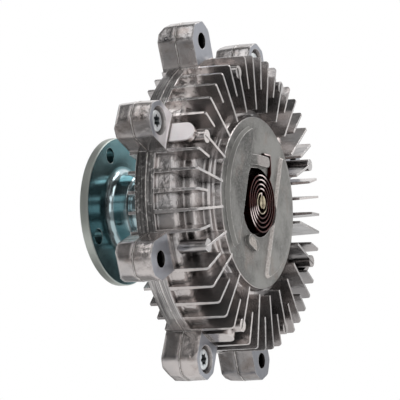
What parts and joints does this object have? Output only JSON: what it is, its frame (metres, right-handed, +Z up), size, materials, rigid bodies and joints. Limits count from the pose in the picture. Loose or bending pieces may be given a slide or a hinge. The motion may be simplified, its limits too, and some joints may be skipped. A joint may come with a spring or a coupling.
{
  "type": "viscous fan clutch",
  "caption": "Viscous fan clutch: a bolted flange and shaft carry, on a ball bearing, a finned cast housing with fan lugs and a bimetal coil that turns its valve.",
  "frame": {"origin": "centre of the flange's mating face, on the clutch axis", "axes": "+X along the clutch axis from the flange to the coil, +Z up, one fan lug 22.5 degrees from +Z"},
  "size_m": [0.0872, 0.184, 0.184],
  "materials": {
    "cast_aluminium": "bright die-cast skin, lightly tumbled",
    "rotor_aluminium": "machined",
    "plated_steel": "zinc plated with a blue-grey passivation",
    "bearing_steel": "ground",
    "cage_steel": "pressed sheet",
    "spring_steel": "dark phosphated",
    "screw_steel": "zinc plated",
    "plate_steel": "rolled sheet",
    "shaft_brass": "turned, dulled",
    "bush_bronze": "sintered",
    "bimetal_strip": "rolled strip, darkened copper red",
    "black_rubber": "moulded"
  },
  "bodies": {
    "hub": {"flange_shaft": "plated_steel", "bearing_inner_ring": "bearing_steel", "rotor_disc": "rotor_aluminium", "rotor_washer": "spring_steel", "rotor_nut": "spring_steel"},
    "bearing_cage_set": {"bearing_cage": "cage_steel", "bearing_balls": "bearing_steel"},
    "housing": {"rear_housing": "cast_aluminium", "front_cover": "cast_aluminium", "cover_screws": "screw_steel", "housing_seal_ring": "black_rubber", "bearing_outer_ring": "bearing_steel", "bearing_seal_rear": "black_rubber", "bearing_seal_front": "black_rubber", "retaining_ring": "spring_steel", "partition_plate": "plate_steel", "plate_screws": "screw_steel", "valve_bush": "bush_bronze", "valve_seal_ring": "black_rubber", "bimetal_coil": "bimetal_strip"},
    "valve": {"valve_shaft": "shaft_brass", "valve_arm": "plate_steel"}
  },
  "joints": [
    {"name": "housing_spin", "type": "hinge", "parent": "hub", "child": "housing", "pos_m": [0.04, 0, 0], "axis": [1, 0, 0], "continuous": true},
    {"name": "cage_spin", "type": "hinge", "parent": "hub", "child": "bearing_cage_set", "pos_m": [0.04, 0, 0], "axis": [1, 0, 0], "continuous": true},
    {"name": "valve_turn", "type": "hinge", "parent": "housing", "child": "valve", "pos_m": [0.078, 0, 0], "axis": [1, 0, 0], "range_deg": [0, 40], "stiffness_Nm_per_rad": 0.02, "deforming": ["bimetal_coil"]}
  ],
  "couplings": [
    {"joint": "cage_spin", "follows": "housing_spin", "ratio": 0.6185}
  ]
}
